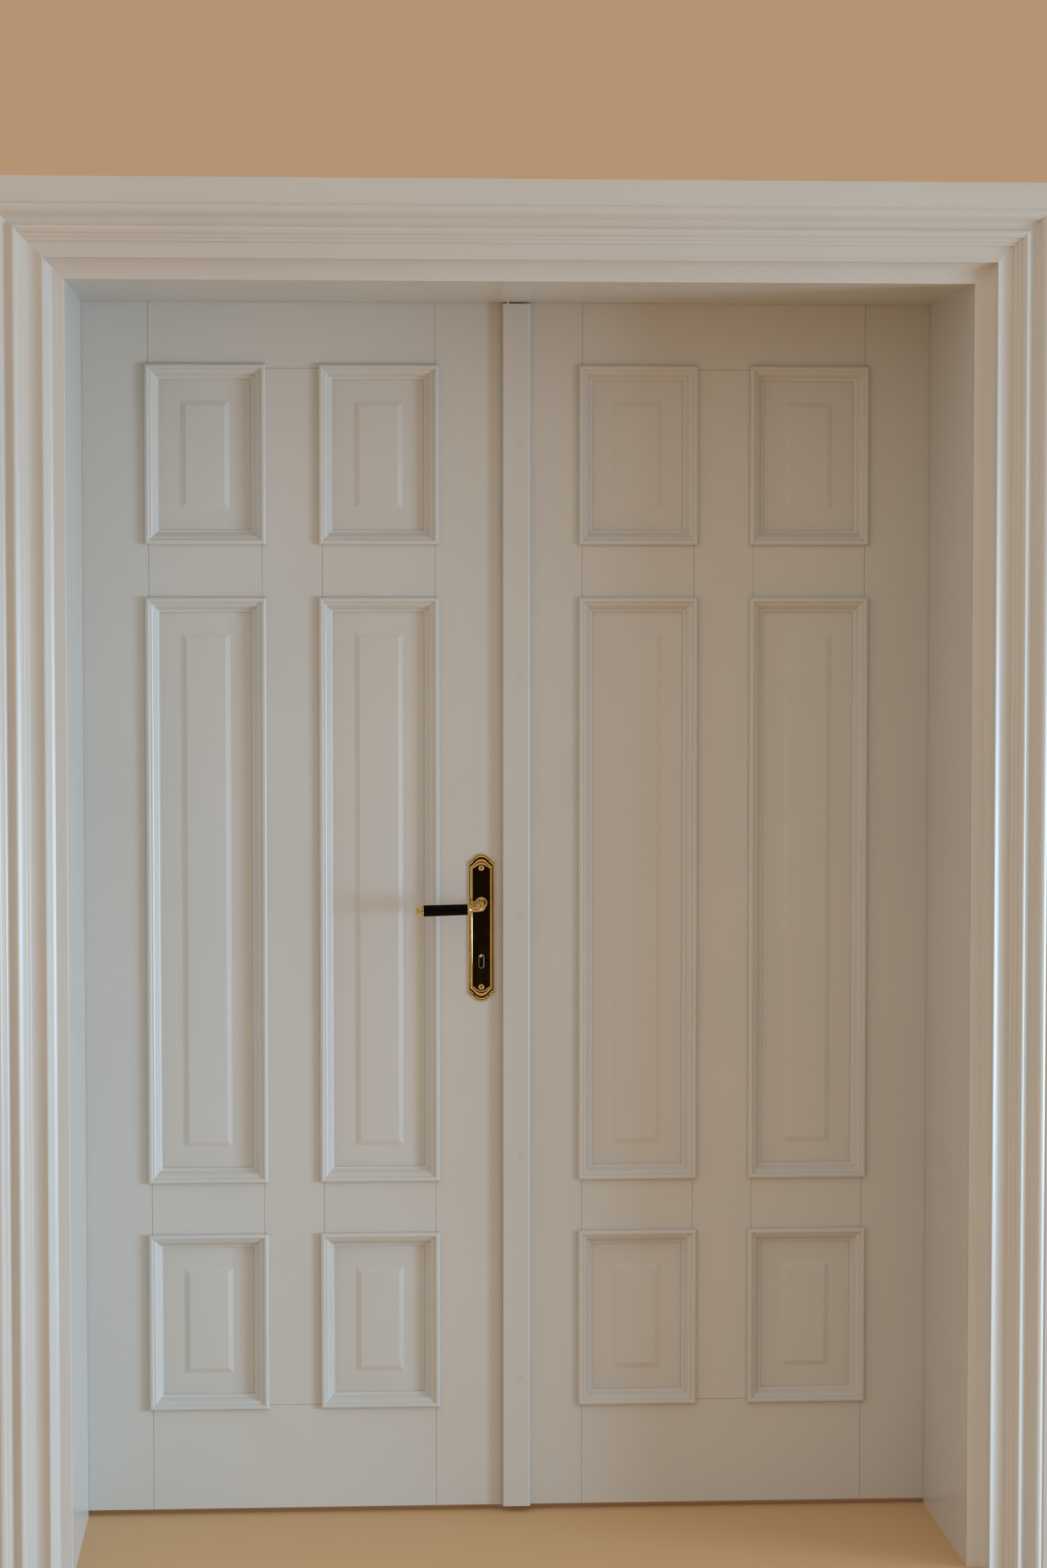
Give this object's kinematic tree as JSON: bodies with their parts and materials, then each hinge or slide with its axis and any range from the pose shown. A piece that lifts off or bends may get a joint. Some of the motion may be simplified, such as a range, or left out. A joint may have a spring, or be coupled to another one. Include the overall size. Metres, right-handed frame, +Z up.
{
  "type": "six-panel double door with frame",
  "caption": "Double-leaf panelled interior door in a deep lining with stepped moulded casings, a brass lever lock on the active leaf and an astragal on the other.",
  "frame": {"origin": "on the floor, in the middle of the object's width and of its depth", "axes": "+X along the opening to the right as seen from the near side, +Y through the wall to the far side, +Z up"},
  "size_m": [1.746, 0.5456, 2.183],
  "materials": {
    "painted_wood": "off-white satin paint on joinery wood",
    "lever_brass": "polished brass, a little darkened in the hollows",
    "grip_black": "black satin grip",
    "hinge_steel": "steel, painted with the door",
    "lock_steel": "plain steel",
    "screw_steel": "plain steel",
    "painted_screws": "screw heads painted over with the leaf"
  },
  "bodies": {
    "frame": {"jamb_lining_left": "painted_wood", "jamb_lining_right": "painted_wood", "head_lining": "painted_wood", "front_casing_left": "painted_wood", "front_casing_right": "painted_wood", "front_casing_head": "painted_wood", "rear_casing_left": "painted_wood", "rear_casing_right": "painted_wood", "rear_casing_head": "painted_wood", "hinge_halves_frame": "hinge_steel", "hinge_pins": "hinge_steel", "frame_screws": "screw_steel", "head_keep_plate": "lock_steel"},
    "active_leaf": {"left_hinge_stile": "painted_wood", "left_meeting_stile": "painted_wood", "left_bottom_rail": "painted_wood", "left_top_rail": "painted_wood", "left_muntin": "painted_wood", "left_lower_cross_rails": "painted_wood", "left_upper_cross_rails": "painted_wood", "left_bottom_panels": "painted_wood", "left_tall_panels": "painted_wood", "left_top_panels": "painted_wood", "left_near_mouldings": "painted_wood", "left_far_mouldings": "painted_wood", "hinge_halves_left": "hinge_steel", "edge_screws_left": "screw_steel", "lock_case": "lock_steel", "lock_faceplate": "lock_steel", "lock_plates": "lever_brass", "lock_plate_screws": "lever_brass"},
    "passive_leaf": {"right_hinge_stile": "painted_wood", "right_meeting_stile": "painted_wood", "right_bottom_rail": "painted_wood", "right_top_rail": "painted_wood", "right_muntin": "painted_wood", "right_lower_cross_rails": "painted_wood", "right_upper_cross_rails": "painted_wood", "right_bottom_panels": "painted_wood", "right_tall_panels": "painted_wood", "right_top_panels": "painted_wood", "right_near_mouldings": "painted_wood", "right_far_mouldings": "painted_wood", "hinge_halves_right": "hinge_steel", "edge_screws_right": "screw_steel", "astragal": "painted_wood", "astragal_screws": "painted_screws", "strike_plate": "lock_steel", "flush_bolt_plates": "lock_steel"},
    "lever": {"lever_spindle": "lock_steel", "lever_necks": "lever_brass", "lever_grips": "grip_black", "lever_end_caps": "lever_brass", "lock_follower": "lock_steel"},
    "latch": {"latch_bolt": "lock_steel"},
    "dead_bolt": {"dead_bolt": "lock_steel"},
    "upper_flush_bolt": {"upper_flush_bolt": "lock_steel"},
    "lower_flush_bolt": {"lower_flush_bolt": "lock_steel"}
  },
  "joints": [
    {"name": "active_swing", "type": "hinge", "parent": "frame", "child": "active_leaf", "pos_m": [-0.7125, 0.2162, 1.015], "axis": [0, 0, 1], "range_deg": [0, 110]},
    {"name": "passive_swing", "type": "hinge", "parent": "frame", "child": "passive_leaf", "pos_m": [0.7125, 0.2162, 1.015], "axis": [0, 0, 1], "range_deg": [-110, 0]},
    {"name": "lever_turn", "type": "hinge", "parent": "active_leaf", "child": "lever", "pos_m": [-0.04575, 0.1862, 1.02], "axis": [0, -1, 0], "range_deg": [0, 40], "stiffness_Nm_per_rad": 1.5, "springref_deg": -9.74},
    {"name": "latch_slide", "type": "slide", "parent": "active_leaf", "child": "latch", "axis": [-1, 0, 0], "range_m": [0, 0.011]},
    {"name": "dead_bolt_throw", "type": "slide", "parent": "active_leaf", "child": "dead_bolt", "axis": [1, 0, 0], "range_m": [0, 0.014]},
    {"name": "upper_flush_slide", "type": "slide", "parent": "passive_leaf", "child": "upper_flush_bolt", "axis": [0, 0, 1], "range_m": [0, 0.02]},
    {"name": "lower_flush_slide", "type": "slide", "parent": "passive_leaf", "child": "lower_flush_bolt", "axis": [0, 0, -1], "range_m": [0, 0.02]}
  ],
  "couplings": [
    {"joint": "passive_swing", "follows": "active_swing", "ratio": -1},
    {"joint": "latch_slide", "follows": "lever_turn", "m_per_rad": 0.015756}
  ]
}
